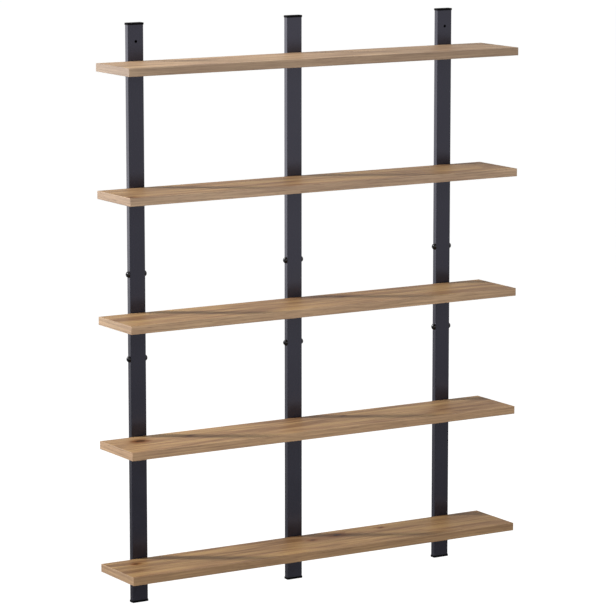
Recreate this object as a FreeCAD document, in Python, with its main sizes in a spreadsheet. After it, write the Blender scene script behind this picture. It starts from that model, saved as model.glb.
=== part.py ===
"""Wall shelf: five decor boards on three two-piece tube uprights, hung from two wall screws.

The origin is midway between the two wall-screw holes, on the rear faces of the uprights. +X runs along
the boards, +Y goes into the wall and +Z is up, in millimetres.
"""
import FreeCAD, Part
import Sketcher
import math
import os

BOARDS = 5
UPRIGHTS = ("left", "middle", "right")
CAP_RIBS = 3
BRACKET_SCREWS = 2
TOUCHING = 1e-6

# Driving dimensions, one spreadsheet row each
SIZES = {
    # boards
    "board_length": 1000,
    "board_depth": 150,
    "board_thickness": 18,
    "board_pitch": 276,
    "board_back_gap": 0.2,
    "band_thickness": 1,
    "band_edge_radius": 0.8,
    # uprights
    "upright_spacing": 401,
    "upright_overrun": 78,
    "tube_width": 38,
    "tube_depth": 15,
    "tube_wall": 1.2,
    "tube_corner_radius": 2,
    "wall_hole_diameter": 6.5,
    "wall_hole_drop": 36,
    # joint between the two halves of an upright
    "sleeve_wall": 1.5,
    "sleeve_corner_radius": 2,
    "sleeve_clearance": 0.2,
    "sleeve_end_margin": 20,
    "collar_wall": 1.3,
    "collar_length": 3,
    "joint_screw_offset": 94,
    "joint_thread_diameter": 6,
    "joint_thread_clearance": 0.05,
    "joint_hole_clearance": 0.3,
    "joint_shank_length": 12,
    "joint_head_diameter": 14.6,
    "joint_head_height": 5.8,
    "joint_head_rim": 1.2,
    "joint_head_flat": 6,
    "joint_socket_size": 4,
    "joint_socket_depth": 2.6,
    # plug-in end caps
    "cap_flange_thickness": 4.5,
    "cap_flange_overhang": 1.2,
    "cap_edge_radius": 1,
    "cap_plug_length": 16,
    "cap_plug_wall": 1.5,
    "cap_plug_clearance": 0.5,
    "cap_rib_clearance": 0.1,
    "cap_rib_thickness": 1.2,
    "cap_rib_pitch": 4.5,
    # angle brackets under the boards
    "bracket_thickness": 2,
    "bracket_width": 30,
    "bracket_reach": 110,
    "bracket_leg_height": 14,
    "bracket_bend_radius": 0.6,
    "bracket_tip_radius": 8,
    "bracket_hole_clearance": 0.3,
    "bracket_hole_inset": 15,
    "bracket_hole_pitch": 60,
    # pan-head wood screws through the brackets
    "screw_diameter": 4,
    "screw_length": 15,
    "screw_point_length": 3,
    "screw_point_diameter": 1,
    "screw_head_diameter": 8,
    "screw_head_height": 2.4,
    "screw_head_rim": 1.2,
    "screw_head_flat": 4.5,
    "screw_pilot_clearance": 0.05,
    "screw_pilot_spare": 1,
}

# Places and fits that follow from the driving dimensions
DERIVED = {
    "board_back": "-(Sizes.tube_depth + Sizes.bracket_thickness + Sizes.board_back_gap)",
    "board_middle": "board_back - Sizes.board_depth / 2",
    "first_underside": "Sizes.wall_hole_drop - Sizes.upright_overrun - Sizes.board_thickness",
    "core_length": "Sizes.board_length - 2 * Sizes.band_thickness",
    "core_depth": "Sizes.board_depth - 2 * Sizes.band_thickness",
    "half_stack": f"{(BOARDS - 1) / 2} * Sizes.board_pitch + Sizes.board_thickness / 2",
    "half_length": "half_stack + Sizes.upright_overrun",
    "joint_height": "Sizes.wall_hole_drop - half_length",
    "upright_foot": "Sizes.wall_hole_drop - 2 * half_length",
    "bore_width": "Sizes.tube_width - 2 * Sizes.tube_wall",
    "bore_depth": "Sizes.tube_depth - 2 * Sizes.tube_wall",
    "bore_radius": "Sizes.tube_corner_radius - Sizes.tube_wall",
    "sleeve_width": "bore_width - 2 * Sizes.sleeve_clearance",
    "sleeve_depth": "bore_depth - 2 * Sizes.sleeve_clearance",
    "sleeve_bore_width": "sleeve_width - 2 * Sizes.sleeve_wall",
    "sleeve_bore_depth": "sleeve_depth - 2 * Sizes.sleeve_wall",
    "sleeve_bore_radius": "Sizes.sleeve_corner_radius - Sizes.sleeve_wall",
    "sleeve_length": "2 * (Sizes.joint_screw_offset + Sizes.sleeve_end_margin)",
    "flange_width": "Sizes.tube_width + 2 * Sizes.cap_flange_overhang",
    "flange_depth": "Sizes.tube_depth + 2 * Sizes.cap_flange_overhang",
    "flange_radius": "Sizes.tube_corner_radius + Sizes.cap_flange_overhang",
    "flange_rim_radius": "min(Sizes.cap_edge_radius; Sizes.cap_flange_thickness / 2)",
    "plug_width": "bore_width - 2 * Sizes.cap_plug_clearance",
    "plug_depth": "bore_depth - 2 * Sizes.cap_plug_clearance",
    "rib_width": "bore_width - 2 * Sizes.cap_rib_clearance",
    "rib_depth": "bore_depth - 2 * Sizes.cap_rib_clearance",
    "bracket_tip": "-(Sizes.tube_depth + Sizes.bracket_reach)",
    "outer_bend_radius": "Sizes.bracket_bend_radius + Sizes.bracket_thickness",
    "tip_radius": "min(Sizes.bracket_tip_radius; Sizes.bracket_width / 2 - 1)",
    "front_hole": "bracket_tip + Sizes.bracket_hole_inset",
    "screw_hole": "Sizes.screw_diameter + 2 * Sizes.bracket_hole_clearance",
    "pilot_hole": "Sizes.screw_diameter + 2 * Sizes.screw_pilot_clearance",
    "pilot_depth": "Sizes.screw_length - Sizes.bracket_thickness + Sizes.screw_pilot_spare",
}

doc = FreeCAD.newDocument("wall_shelf")


def fill_sheet(name, rows, formula):
    """Writes one named row per size and gives each value cell its name as alias."""
    sheet = doc.addObject("Spreadsheet::Sheet", name)
    for row, (alias, value) in enumerate(rows.items(), start=1):
        sheet.set(f"A{row}", alias)
        sheet.set(f"B{row}", f"={value}" if formula else str(value))
        sheet.setAlias(f"B{row}", alias)
    doc.recompute()
    return sheet


fill_sheet("Sizes", SIZES, formula=False)
derived = fill_sheet("Derived", DERIVED, formula=True)
sub_parts = []


def value_of(expression):
    return float(derived.evalExpression(expression))


def new_body(label, x="0", y="0", z="0", turn_axis=(0, 0, 1), turn=0):
    """A sub-part whose place follows the sheets; turn is in degrees about turn_axis."""
    body = doc.addObject("PartDesign::Body", label)
    body.Label = label
    turned = FreeCAD.Rotation(FreeCAD.Vector(*turn_axis), turn)
    body.Placement = FreeCAD.Placement(FreeCAD.Vector(), turned)
    body.setExpression("Placement.Base.x", x)
    body.setExpression("Placement.Base.y", y)
    body.setExpression("Placement.Base.z", z)
    sub_parts.append(body)
    return body


def origin_feature(body, role):
    return next(feature for feature in body.Origin.OriginFeatures if feature.Role == role)


def new_sketch(body, name, role, offset=None):
    sketch = body.newObject("Sketcher::SketchObject", name)
    sketch.AttachmentSupport = [(origin_feature(body, role), "")]
    sketch.MapMode = "FlatFace"
    if offset:
        sketch.setExpression("AttachmentOffset.Base.z", offset)
    return sketch


def bind(sketch, kind, expression, *places):
    """Adds a dimension that follows an expression."""
    index = sketch.addConstraint(Sketcher.Constraint(kind, *places, value_of(expression)))
    sketch.setExpression(f"Constraints[{index}]", expression)


def corner_arc(corner, before, after, radius):
    """The quarter arc that rounds a square corner, and where it meets the two sides."""
    to_before = (before - corner).normalize()
    to_after = (after - corner).normalize()
    start = corner + to_before * radius
    end = corner + to_after * radius
    middle = corner + (to_before + to_after) * radius * (1 - math.sqrt(0.5))
    return Part.Arc(start, middle, end), start, end


def add_profile(sketch, corners):
    """A closed profile of level and upright sides; a corner is (x, y) or (x, y, radius), as expressions."""
    points = [FreeCAD.Vector(value_of(c[0]), value_of(c[1]), 0) for c in corners]
    arcs = {}
    starts = list(points)
    ends = list(points)
    for k, corner in enumerate(corners):
        if len(corner) == 3:
            following = points[(k + 1) % len(points)]
            arc, ends[k], starts[k] = corner_arc(points[k], points[k - 1], following, value_of(corner[2]))
            arcs[k] = sketch.addGeometry(arc)
    sides = []
    for k in range(len(corners)):
        following = (k + 1) % len(corners)
        sides.append(sketch.addGeometry(Part.LineSegment(starts[k], ends[following])))
    for k, side in enumerate(sides):
        following = (k + 1) % len(corners)
        level = abs(points[k].y - points[following].y) < abs(points[k].x - points[following].x)
        sketch.addConstraint(Sketcher.Constraint("Horizontal" if level else "Vertical", side))
        bind(sketch, "DistanceY" if level else "DistanceX", corners[k][1 if level else 0], -1, 1, side, 1)
        if following in arcs:
            arc = arcs[following]
            arc_end = near_end(sketch, arc, ends[following])
            sketch.addConstraint(Sketcher.Constraint("Tangent", side, 2, arc, arc_end))
            sketch.addConstraint(Sketcher.Constraint("Tangent", arc, 3 - arc_end, sides[following], 1))
            bind(sketch, "Radius", corners[following][2], arc)
        else:
            sketch.addConstraint(Sketcher.Constraint("Coincident", side, 2, sides[following], 1))


def near_end(sketch, arc, point):
    """Which end of an arc, 1 or 2, lies at a point."""
    first = sketch.getPoint(arc, 1).distanceToPoint(point)
    second = sketch.getPoint(arc, 2).distanceToPoint(point)
    return 1 if first < second else 2


def add_box(sketch, width, depth, radius=None):
    """A rectangle about the sketch's origin, with rounded corners if a radius is given."""
    rounded = (radius,) if radius else ()
    right = f"({width}) / 2"
    top = f"({depth}) / 2"
    left = f"-({width}) / 2"
    bottom = f"-({depth}) / 2"
    add_profile(sketch, [(left, bottom, *rounded), (right, bottom, *rounded),
                         (right, top, *rounded), (left, top, *rounded)])


def add_circle(sketch, x, y, diameter):
    centre = FreeCAD.Vector(value_of(x), value_of(y), 0)
    circle = sketch.addGeometry(Part.Circle(centre, FreeCAD.Vector(0, 0, 1), value_of(diameter) / 2))
    bind(sketch, "Diameter", diameter, circle)
    bind(sketch, "DistanceX", x, -1, 1, circle, 3)
    bind(sketch, "DistanceY", y, -1, 1, circle, 3)


def pad(body, sketch, length, reverse=False, both_ways=False):
    feature = body.newObject("PartDesign::Pad", sketch.Name + "_pad")
    feature.Profile = sketch
    feature.SideType = "Symmetric" if both_ways else "One side"
    feature.Reversed = reverse
    feature.setExpression("Length", length)
    return feature


def cut(body, sketch, length=None, reverse=False):
    """A pocket of a given length, or right through the piece on both sides of the sketch."""
    doc.recompute()
    before = body.Shape.Volume
    feature = body.newObject("PartDesign::Pocket", sketch.Name + "_cut")
    feature.Profile = sketch
    feature.Reversed = reverse
    if length:
        feature.setExpression("Length", length)
    else:
        feature.Type = "ThroughAll"
        feature.SideType = "Symmetric"
    doc.recompute()
    if body.Shape.Volume >= before:
        raise RuntimeError(f"{feature.Label} removes nothing")
    return feature


def pattern(body, original, role, length, count, reverse=False):
    """Repeats a feature along one of the body's axes over a length."""
    feature = body.newObject("PartDesign::LinearPattern", original.Name + "_row")
    feature.Originals = [original]
    set_row(body, feature, role, length, count, reverse)
    body.Tip = feature
    return feature


def set_row(body, feature, role, length, count, reverse=False):
    feature.Direction = (origin_feature(body, role), [""])
    feature.Reversed = reverse
    feature.Occurrences = count
    feature.setExpression("Length", length)


def mirror(body, original, role):
    feature = body.newObject("PartDesign::Mirrored", original.Name + "_mirror")
    feature.Originals = [original]
    feature.MirrorPlane = (origin_feature(body, role), [""])
    body.Tip = feature
    return feature


def multiply(body, originals, steps):
    """Applies a chain of rows and mirrors to several features at once."""
    feature = body.newObject("PartDesign::MultiTransform", body.Name + "_set")
    feature.Originals = originals
    feature.Transformations = steps
    body.Tip = feature
    return feature


def row_step(body, name, role, length, count, reverse=False):
    step = body.newObject("PartDesign::LinearPattern", f"{body.Name}_{name}")
    set_row(body, step, role, length, count, reverse)
    return step


def mirror_step(body, name, role):
    step = body.newObject("PartDesign::Mirrored", f"{body.Name}_{name}")
    step.MirrorPlane = (origin_feature(body, role), [""])
    return step


def revolve(body, sketch):
    """Turns a profile round the sketch's construction line."""
    feature = body.newObject("PartDesign::Revolution", sketch.Name + "_turn")
    feature.Profile = sketch
    feature.ReferenceAxis = (sketch, ["Axis0"])
    feature.Angle = 360
    return feature


def upright_place(index):
    return f"{index - 1} * Sizes.upright_spacing"


def board_underside(number):
    return f"Derived.first_underside - {number - 1} * Sizes.board_pitch"


def board_core(number):
    """Chipboard core with decor on both faces; pilot holes from below take the bracket screws."""
    label = f"board_{number}_core"
    body = new_body(label, "0", "Derived.board_middle", board_underside(number))
    outline = new_sketch(body, f"{label}_outline", "XY_Plane")
    add_box(outline, "Derived.core_length", "Derived.core_depth")
    pad(body, outline, "Sizes.board_thickness")
    pilots = new_sketch(body, f"{label}_pilots", "XY_Plane")
    for k in range(BRACKET_SCREWS):
        along = f"Derived.front_hole + {k} * Sizes.bracket_hole_pitch - Derived.board_middle"
        add_circle(pilots, "-Sizes.upright_spacing", along, "Derived.pilot_hole")
    drilled = cut(body, pilots, "Derived.pilot_depth", reverse=True)
    pattern(body, drilled, "X_Axis", "2 * Sizes.upright_spacing", len(UPRIGHTS))


def edge_band(number, side, length, x, y, turn):
    """Decor strip glued to one edge of a core, with its two outer edges eased."""
    label = f"board_{number}_{side}_band"
    body = new_body(label, x, y, board_underside(number), turn=turn)
    section = new_sketch(body, f"{label}_section", "YZ_Plane")
    outer = "-Sizes.band_thickness"
    height = "Sizes.board_thickness"
    eased = "Sizes.band_edge_radius"
    add_profile(section, [("0", "0"), ("0", height), (outer, height, eased), (outer, "0", eased)])
    pad(body, section, length, both_ways=True)


def board(number):
    """One board: the front and back bands run its full length, the end bands fit between them."""
    board_core(number)
    length = "Sizes.board_length"
    depth = "Derived.core_depth"
    half_depth = "Derived.core_depth / 2"
    half_length = "Derived.core_length / 2"
    edge_band(number, "front", length, "0", f"Derived.board_middle - {half_depth}", 0)
    edge_band(number, "back", length, "0", f"Derived.board_middle + {half_depth}", 180)
    edge_band(number, "left", depth, f"-{half_length}", "Derived.board_middle", -90)
    edge_band(number, "right", depth, half_length, "Derived.board_middle", 90)


def tube(index, half):
    """Half of an upright: rounded tube, drilled for the joint and, near an outer top, for the wall."""
    label = f"{UPRIGHTS[index]}_{half}_tube"
    body = new_body(label, upright_place(index), "-Sizes.tube_depth / 2", "Derived.joint_height")
    upper = half == "upper"
    section = new_sketch(body, f"{label}_section", "XY_Plane")
    add_box(section, "Sizes.tube_width", "Sizes.tube_depth", "Sizes.tube_corner_radius")
    add_box(section, "Derived.bore_width", "Derived.bore_depth", "Derived.bore_radius")
    pad(body, section, "Derived.half_length", reverse=not upper)
    joint_holes = new_sketch(body, f"{label}_joint_holes", "YZ_Plane")
    height = "Sizes.joint_screw_offset" if upper else "-Sizes.joint_screw_offset"
    hole = "Sizes.joint_thread_diameter + 2 * Sizes.joint_hole_clearance"
    add_circle(joint_holes, "0", height, hole)
    cut(body, joint_holes)
    if upper and UPRIGHTS[index] != "middle":
        wall_hole = new_sketch(body, f"{label}_wall_hole", "XZ_Plane")
        add_circle(wall_hole, "0", "Derived.half_length - Sizes.wall_hole_drop", "Sizes.wall_hole_diameter")
        cut(body, wall_hole)


def joint_sleeve(index):
    """Tube that bridges the two halves of an upright, with threaded collars drawn in from its sides."""
    label = f"{UPRIGHTS[index]}_joint_sleeve"
    body = new_body(label, upright_place(index), "-Sizes.tube_depth / 2", "Derived.joint_height")
    section = new_sketch(body, f"{label}_section", "XY_Plane")
    add_box(section, "Derived.sleeve_width", "Derived.sleeve_depth", "Sizes.sleeve_corner_radius")
    add_box(section, "Derived.sleeve_bore_width", "Derived.sleeve_bore_depth", "Derived.sleeve_bore_radius")
    pad(body, section, "Derived.sleeve_length", both_ways=True)
    heights = ("Sizes.joint_screw_offset", "-Sizes.joint_screw_offset")
    collars = new_sketch(body, f"{label}_collars", "YZ_Plane", "Derived.sleeve_bore_width / 2")
    for height in heights:
        add_circle(collars, "0", height, "Sizes.joint_thread_diameter + 2 * Sizes.collar_wall")
    drawn = pad(body, collars, "Sizes.collar_length", reverse=True)
    mirror(body, drawn, "YZ_Plane")
    threads = new_sketch(body, f"{label}_threads", "YZ_Plane")
    for height in heights:
        add_circle(threads, "0", height, "Sizes.joint_thread_diameter + 2 * Sizes.joint_thread_clearance")
    body.Tip = cut(body, threads)


def end_cap(index, end):
    """Moulded plug-in cap: a rounded flange over the tube's end and a hollow plug with gripping ribs."""
    label = f"{UPRIGHTS[index]}_{end}_cap"
    height = "Sizes.wall_hole_drop" if end == "top" else "Derived.upright_foot"
    turn = 0 if end == "top" else 180
    body = new_body(label, upright_place(index), "-Sizes.tube_depth / 2", height, (1, 0, 0), turn)
    flange = new_sketch(body, f"{label}_flange", "XY_Plane")
    add_box(flange, "Derived.flange_width", "Derived.flange_depth", "Derived.flange_radius")
    lid = pad(body, flange, "Sizes.cap_flange_thickness")
    doc.recompute()
    rim = value_of("Sizes.cap_flange_thickness")
    rounded = body.newObject("PartDesign::Fillet", f"{label}_rim")
    rounded.Base = (lid, edges_at_height(lid.Shape, rim))
    rounded.setExpression("Radius", "Derived.flange_rim_radius")
    plug = new_sketch(body, f"{label}_plug", "XY_Plane")
    add_box(plug, "Derived.plug_width", "Derived.plug_depth")
    wall = "2 * Sizes.cap_plug_wall"
    add_box(plug, f"Derived.plug_width - {wall}", f"Derived.plug_depth - {wall}")
    pad(body, plug, "Sizes.cap_plug_length", reverse=True)
    ribs = new_sketch(body, f"{label}_ribs", "XY_Plane", "-Sizes.cap_rib_pitch")
    add_box(ribs, "Derived.rib_width", "Derived.rib_depth", "Derived.bore_radius")
    add_box(ribs, "Derived.plug_width", "Derived.plug_depth")
    rib = pad(body, ribs, "Sizes.cap_rib_thickness", reverse=True)
    pattern(body, rib, "Z_Axis", f"{CAP_RIBS - 1} * Sizes.cap_rib_pitch", CAP_RIBS, reverse=True)


def edges_at_height(shape, height):
    names = []
    for k, edge in enumerate(shape.Edges, start=1):
        box = edge.BoundBox
        if abs(box.ZMin - height) < TOUCHING and abs(box.ZMax - height) < TOUCHING:
            names.append(f"Edge{k}")
    return names


def bracket(number, index):
    """Angle bent from sheet: its leg stands between tube and board, its arm carries the board."""
    label = f"bracket_{number}_{UPRIGHTS[index]}"
    body = new_body(label, upright_place(index), "-Sizes.tube_depth", board_underside(number))
    section = new_sketch(body, f"{label}_section", "YZ_Plane")
    thickness = "Sizes.bracket_thickness"
    tip = "-Sizes.bracket_reach"
    leg = "Sizes.bracket_leg_height"
    add_profile(section, [("0", leg), ("0", f"-{thickness}", "Derived.outer_bend_radius"),
                          (tip, f"-{thickness}"), (tip, "0"),
                          (f"-{thickness}", "0", "Sizes.bracket_bend_radius"), (f"-{thickness}", leg)])
    bent = pad(body, section, "Sizes.bracket_width", both_ways=True)
    doc.recompute()
    tip_edges = upright_edges_at(bent.Shape, value_of(tip))
    rounded = body.newObject("PartDesign::Fillet", f"{label}_tip")
    rounded.Base = (bent, tip_edges)
    rounded.setExpression("Radius", "Derived.tip_radius")
    holes = new_sketch(body, f"{label}_holes", "XY_Plane")
    for k in range(BRACKET_SCREWS):
        along = f"Derived.front_hole + {k} * Sizes.bracket_hole_pitch + Sizes.tube_depth"
        add_circle(holes, "0", along, "Derived.screw_hole")
    cut(body, holes)


def upright_edges_at(shape, y):
    names = []
    for k, edge in enumerate(shape.Edges, start=1):
        box = edge.BoundBox
        at_tip = abs(box.YMin - y) < TOUCHING and abs(box.YMax - y) < TOUCHING
        if at_tip and box.XLength < TOUCHING:
            names.append(f"Edge{k}")
    return names


def joint_screws():
    """Domed screws with hexagon sockets, in pairs on the sides of each upright near its joint."""
    body = new_body("joint_screws", upright_place(0), "-Sizes.tube_depth / 2", "Derived.joint_height")
    height = "Sizes.joint_screw_offset"
    face = "Sizes.tube_width / 2"
    top = f"{face} + Sizes.joint_head_height"
    profile = new_sketch(body, "joint_screw_profile", "XZ_Plane")
    add_turned_profile(profile, height, [
        (f"{face} - Sizes.joint_shank_length", "Sizes.joint_thread_diameter / 2"),
        (face, "Sizes.joint_thread_diameter / 2"),
        (face, "Sizes.joint_head_diameter / 2"),
        (f"{face} + Sizes.joint_head_rim", "Sizes.joint_head_diameter / 2"),
        (top, "Sizes.joint_head_flat / 2"),
    ], domed=3)
    turned = revolve(body, profile)
    socket = new_sketch(body, "joint_screw_socket", "YZ_Plane", top)
    add_hexagon(socket, height, "Sizes.joint_socket_size")
    doc.recompute()
    broached = cut(body, socket, "Sizes.joint_socket_depth")
    spread = "2 * Sizes.upright_spacing"
    multiply(body, [turned, broached], [
        mirror_step(body, "sides", "YZ_Plane"),
        mirror_step(body, "pairs", "XY_Plane"),
        row_step(body, "uprights", "X_Axis", spread, len(UPRIGHTS)),
    ])


def add_turned_profile(sketch, axis, corners, domed=None):
    """Half of a turned piece about a level axis, from corners of (along, radius).

    The side after the corner that domed counts to is an arc whose centre lies on the axis.
    """
    centre = value_of(axis)
    outline = [(corners[0][0], "0"), *corners, (corners[-1][0], "0")]
    points = [FreeCAD.Vector(value_of(x), centre + value_of(r), 0) for x, r in outline]
    spine = sketch.addGeometry(Part.LineSegment(points[0], points[-1]), True)
    sides = []
    for k in range(len(points)):
        following = points[(k + 1) % len(points)]
        if domed is not None and k == domed + 1:
            sides.append(sketch.addGeometry(dome_arc(points[k], following, centre)))
        else:
            sides.append(sketch.addGeometry(Part.LineSegment(points[k], following)))
    for k, (x, radius) in enumerate(outline):
        point = 1
        if domed is not None and k == domed + 1:
            point = near_end(sketch, sides[k], points[k])
        bind(sketch, "DistanceX", x, -1, 1, sides[k], point)
        bind(sketch, "DistanceY", f"{axis} + {radius}", -1, 1, sides[k], point)
    for k, side in enumerate(sides):
        following = (k + 1) % len(sides)
        here = 2
        there = 1
        if domed is not None and k == domed + 1:
            here = 3 - near_end(sketch, side, points[k])
        if domed is not None and following == domed + 1:
            there = near_end(sketch, sides[following], points[following])
        sketch.addConstraint(Sketcher.Constraint("Coincident", side, here, sides[following], there))
    sketch.addConstraint(Sketcher.Constraint("Coincident", spine, 1, sides[0], 1))
    sketch.addConstraint(Sketcher.Constraint("Coincident", spine, 2, sides[-1], 1))
    if domed is not None:
        sketch.addConstraint(Sketcher.Constraint("PointOnObject", sides[domed + 1], 3, spine))


def dome_arc(start, end, axis):
    """The arc between two points whose centre lies on a level axis."""
    rise = start.y - axis
    drop = end.y - axis
    run = end.x - start.x
    along = start.x + (run * run + drop * drop - rise * rise) / (2 * run)
    centre = FreeCAD.Vector(along, axis, 0)
    radius = centre.distanceToPoint(start)
    middle = (start + end) / 2 - centre
    return Part.Arc(start, centre + middle.normalize() * radius, end)


def add_hexagon(sketch, height, across_flats):
    """A hexagon centred above the sketch's origin, with two sides upright."""
    centre = FreeCAD.Vector(0, value_of(height), 0)
    corner_radius = value_of(across_flats) / math.sqrt(3)
    corners = []
    for k in range(6):
        angle = math.radians(30 + 60 * k)
        corners.append(centre + FreeCAD.Vector(math.cos(angle), math.sin(angle), 0) * corner_radius)
    ring = sketch.addGeometry(Part.Circle(centre, FreeCAD.Vector(0, 0, 1), corner_radius), True)
    sides = []
    for k in range(6):
        sides.append(sketch.addGeometry(Part.LineSegment(corners[k], corners[(k + 1) % 6])))
    for k, side in enumerate(sides):
        sketch.addConstraint(Sketcher.Constraint("Coincident", side, 2, sides[(k + 1) % 6], 1))
        sketch.addConstraint(Sketcher.Constraint("PointOnObject", side, 1, ring))
        if k > 0:
            sketch.addConstraint(Sketcher.Constraint("Equal", sides[0], side))
    sketch.addConstraint(Sketcher.Constraint("Vertical", sides[5]))
    bind(sketch, "Diameter", f"2 * {across_flats} / sqrt(3)", ring)
    bind(sketch, "DistanceX", "0", -1, 1, ring, 3)
    bind(sketch, "DistanceY", height, -1, 1, ring, 3)


def bracket_screws():
    """Pan-head screws driven up through every bracket into its board."""
    seat = f"{board_underside(1)} - Sizes.bracket_thickness"
    body = new_body("bracket_screws", upright_place(0), "Derived.front_hole", seat)
    profile = new_sketch(body, "bracket_screw_profile", "XZ_Plane")
    quarter_turn = FreeCAD.Rotation(FreeCAD.Vector(0, 0, 1), 90)
    profile.AttachmentOffset = FreeCAD.Placement(FreeCAD.Vector(), quarter_turn)
    add_turned_profile(profile, "0", [
        ("-Sizes.screw_head_height", "Sizes.screw_head_flat / 2"),
        ("-Sizes.screw_head_rim", "Sizes.screw_head_diameter / 2"),
        ("0", "Sizes.screw_head_diameter / 2"),
        ("0", "Sizes.screw_diameter / 2"),
        ("Sizes.screw_length - Sizes.screw_point_length", "Sizes.screw_diameter / 2"),
        ("Sizes.screw_length", "Sizes.screw_point_diameter / 2"),
    ])
    turned = revolve(body, profile)
    spread = "2 * Sizes.upright_spacing"
    drop = f"{BOARDS - 1} * Sizes.board_pitch"
    along = f"{BRACKET_SCREWS - 1} * Sizes.bracket_hole_pitch"
    multiply(body, [turned], [
        row_step(body, "pairs", "Y_Axis", along, BRACKET_SCREWS),
        row_step(body, "uprights", "X_Axis", spread, len(UPRIGHTS)),
        row_step(body, "boards", "Z_Axis", drop, BOARDS, reverse=True),
    ])


for board_number in range(1, BOARDS + 1):
    board(board_number)
for upright in range(len(UPRIGHTS)):
    tube(upright, "upper")
    tube(upright, "lower")
    joint_sleeve(upright)
    end_cap(upright, "top")
    end_cap(upright, "bottom")
    for board_number in range(1, BOARDS + 1):
        bracket(board_number, upright)
joint_screws()
bracket_screws()
doc.recompute()

for item in doc.Objects:
    if "Invalid" in item.State or "Error" in item.State:
        raise RuntimeError(f"{item.Label} failed: {item.State}")
for body in sub_parts:
    if body.Shape.isNull() or not body.Shape.isValid():
        raise RuntimeError(f"{body.Label} has no valid shape")

os.makedirs("parts", exist_ok=True)
for body in sub_parts:
    body.Shape.exportStep(f"parts/{body.Label}.step")
whole = Part.makeCompound([body.Shape for body in sub_parts]).optimalBoundingBox(False)
print(f"{len(sub_parts)} sub-parts, {whole.XLength:.1f} x {whole.YLength:.1f} x {whole.ZLength:.1f} mm")
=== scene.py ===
# %% [markdown]
# # A wall shelf: five oak decor boards on three black steel uprights
# The construction comes from the CAD model, in metres and already in its place. Nothing here moves it.
# This lesson gives every piece the surface of its real material, adds what is too fine for the CAD model,
# such as weld beads and screw threads, and then sets up a plain studio and a camera.

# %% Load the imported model
import math

import bmesh
import bpy
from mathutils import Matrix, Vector


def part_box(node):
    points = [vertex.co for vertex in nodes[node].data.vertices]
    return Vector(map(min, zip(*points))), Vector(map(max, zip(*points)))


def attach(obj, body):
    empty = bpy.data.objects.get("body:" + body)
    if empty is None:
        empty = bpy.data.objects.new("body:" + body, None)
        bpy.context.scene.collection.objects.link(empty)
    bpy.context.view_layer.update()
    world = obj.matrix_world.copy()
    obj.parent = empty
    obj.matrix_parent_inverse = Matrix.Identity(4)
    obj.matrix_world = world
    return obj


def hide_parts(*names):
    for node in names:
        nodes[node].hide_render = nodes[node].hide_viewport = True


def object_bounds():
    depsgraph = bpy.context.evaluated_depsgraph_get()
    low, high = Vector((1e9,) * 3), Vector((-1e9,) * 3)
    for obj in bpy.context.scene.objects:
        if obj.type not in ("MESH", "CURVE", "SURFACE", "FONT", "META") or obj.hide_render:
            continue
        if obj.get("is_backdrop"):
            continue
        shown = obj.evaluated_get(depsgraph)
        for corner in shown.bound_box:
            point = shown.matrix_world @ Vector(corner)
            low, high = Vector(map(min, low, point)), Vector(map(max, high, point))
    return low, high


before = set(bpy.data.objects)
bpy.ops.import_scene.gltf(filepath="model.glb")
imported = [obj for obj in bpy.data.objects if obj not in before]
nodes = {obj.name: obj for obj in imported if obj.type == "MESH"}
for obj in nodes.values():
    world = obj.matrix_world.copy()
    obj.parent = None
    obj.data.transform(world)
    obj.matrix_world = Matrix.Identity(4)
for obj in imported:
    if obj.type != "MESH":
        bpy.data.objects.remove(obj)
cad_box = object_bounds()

MM = 0.001
size = [round((high - low) / MM, 1) for low, high in zip(*cad_box)]
print("CAD nodes:", len(nodes), "and the whole shelf in mm:", size)

# %% [markdown]
# ## Tools for materials
# A material in Blender is a graph of nodes. It could be drawn by hand in the shader editor, but a script can
# be read and repeated. One function adds a node, sets it up and links it, so every material below reads as a
# list of the things that the real surface is made of. Colours are written as sRGB hex, as in any paint
# program, and turned into the linear values that light is calculated in.

# %% Colours in linear light
def linear(hex_colour):
    """The linear RGBA of an sRGB hex colour."""
    parts = [int(hex_colour[k:k + 2], 16) / 255 for k in (1, 3, 5)]
    return [p / 12.92 if p <= 0.04045 else ((p + 0.055) / 1.055) ** 2.4 for p in parts] + [1.0]


print("the sRGB grey #808080 is", round(linear("#808080")[0], 3), "in linear light")

# %% Any node, with its settings and links
def add(tree, kind, inputs=None, stops=None, **settings):
    """Adds a node, with its settings, its colour stops and its inputs: values are set, nodes are linked."""
    made = tree.nodes.new("ShaderNode" + kind)
    for name, value in settings.items():
        setattr(made, name, value)
    if stops:
        ramp = made.color_ramp.elements
        ramp.remove(ramp[1])
        ramp[0].position, ramp[0].color = stops[0][0], linear(stops[0][1])
        for position, colour in stops[1:]:
            ramp.new(position).color = linear(colour)
    sockets = [socket for socket in made.inputs if socket.enabled]
    for name, value in (inputs or {}).items():
        socket = sockets[name] if isinstance(name, int) else made.inputs[name]
        if isinstance(value, bpy.types.Node):
            value = next(out for out in value.outputs if out.enabled)
        if isinstance(value, bpy.types.NodeSocket):
            tree.links.new(value, socket)
        else:
            socket.default_value = value
    return made


# %% New materials, and CAD nodes that wear them
def new_material(name):
    """A material with an empty graph, and that graph."""
    material = bpy.data.materials.new(name)
    material.use_nodes = True
    material.node_tree.nodes.clear()
    return material, material.node_tree


def paint(material, *names):
    """Gives CAD nodes this material, in the slots that they already have."""
    for name in names:
        for slot in nodes[name].material_slots:
            slot.material = material
    print(material.name, "on", len(names), "nodes")


# %% [markdown]
# ## Oak decor on the boards
# The boards are chipboard faced with melamine: paper printed with oak, pressed on in resin between plates
# that leave it matt, with fine pores. An image of oak would be the usual way. A procedural oak has no
# resolution limit and no seams, so it is built here as wood grows. All lengths are in millimetres, with the
# grain along the board. The next steps make the grain, the bends in it, rings and pores, the colours and the
# knots, and then put them together.

# %% Grain, drawn out along the board
GRAIN_BREAKUP = 0.55
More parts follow.
